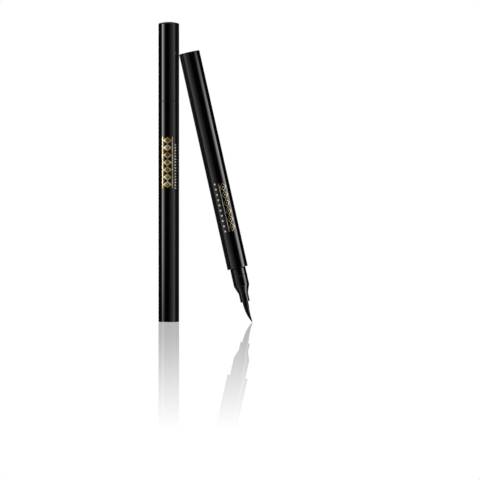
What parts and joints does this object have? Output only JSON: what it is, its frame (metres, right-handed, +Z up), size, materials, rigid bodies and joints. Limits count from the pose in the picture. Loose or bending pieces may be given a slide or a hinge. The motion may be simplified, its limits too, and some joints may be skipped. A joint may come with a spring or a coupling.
{
  "type": "liquid eyeliner pen",
  "caption": "Slim cylindrical liquid eyeliner pens: one standing with its domed cap on, one uncapped and leaning on its tapered fibre tip.",
  "frame": {"origin": "centre of the flat foot of the capped, standing pen", "axes": "+Z up along the standing pen towards its cap; +X towards the side that the uncapped pen leans from; -Y towards the viewer"},
  "size_m": [0.0441, 0.0122, 0.1405],
  "materials": {
    "shell_black": "polished black moulding",
    "section_black": "black moulding, slightly softer gloss",
    "natural_plastic": "undyed milky moulding",
    "nib_fibre": "matt fibre soaked with black ink",
    "relay_fibre": "matt wicking fibre",
    "seal_rubber": "matt black silicone",
    "ball_steel": "bright tumbled steel"
  },
  "bodies": {
    "capped_pen": {"capped_barrel": "shell_black", "capped_tail_plug": "shell_black", "capped_front_section": "section_black", "capped_section_seal": "seal_rubber", "capped_tip_holder": "natural_plastic", "capped_nib": "nib_fibre", "capped_relay_rod": "relay_fibre", "capped_collector": "natural_plastic"},
    "cap": {"cap_shell": "shell_black", "inner_cap": "natural_plastic"},
    "capped_ball": {"capped_mixing_ball": "ball_steel"},
    "open_pen": {"open_barrel": "shell_black", "open_tail_plug": "shell_black", "open_front_section": "section_black", "open_section_seal": "seal_rubber", "open_tip_holder": "natural_plastic", "open_nib": "nib_fibre", "open_relay_rod": "relay_fibre", "open_collector": "natural_plastic"},
    "open_ball": {"open_mixing_ball": "ball_steel"}
  },
  "joints": [
    {"name": "cap_pull", "type": "slide", "parent": "capped_pen", "child": "cap", "axis": [0, 0, 1], "range_m": [0, 0.04]},
    {"name": "capped_ball_roll", "type": "slide", "parent": "capped_pen", "child": "capped_ball", "axis": [0, 0, 1], "range_m": [0, 0.07]},
    {"name": "open_pen_lift", "type": "slide", "parent": "capped_pen", "child": "open_pen", "axis": [0, 0, 1], "range_m": [0, 0.145]},
    {"name": "open_ball_roll", "type": "slide", "parent": "open_pen", "child": "open_ball", "axis": [-0.2193, 0, 0.9757], "range_m": [0, 0.064]}
  ]
}
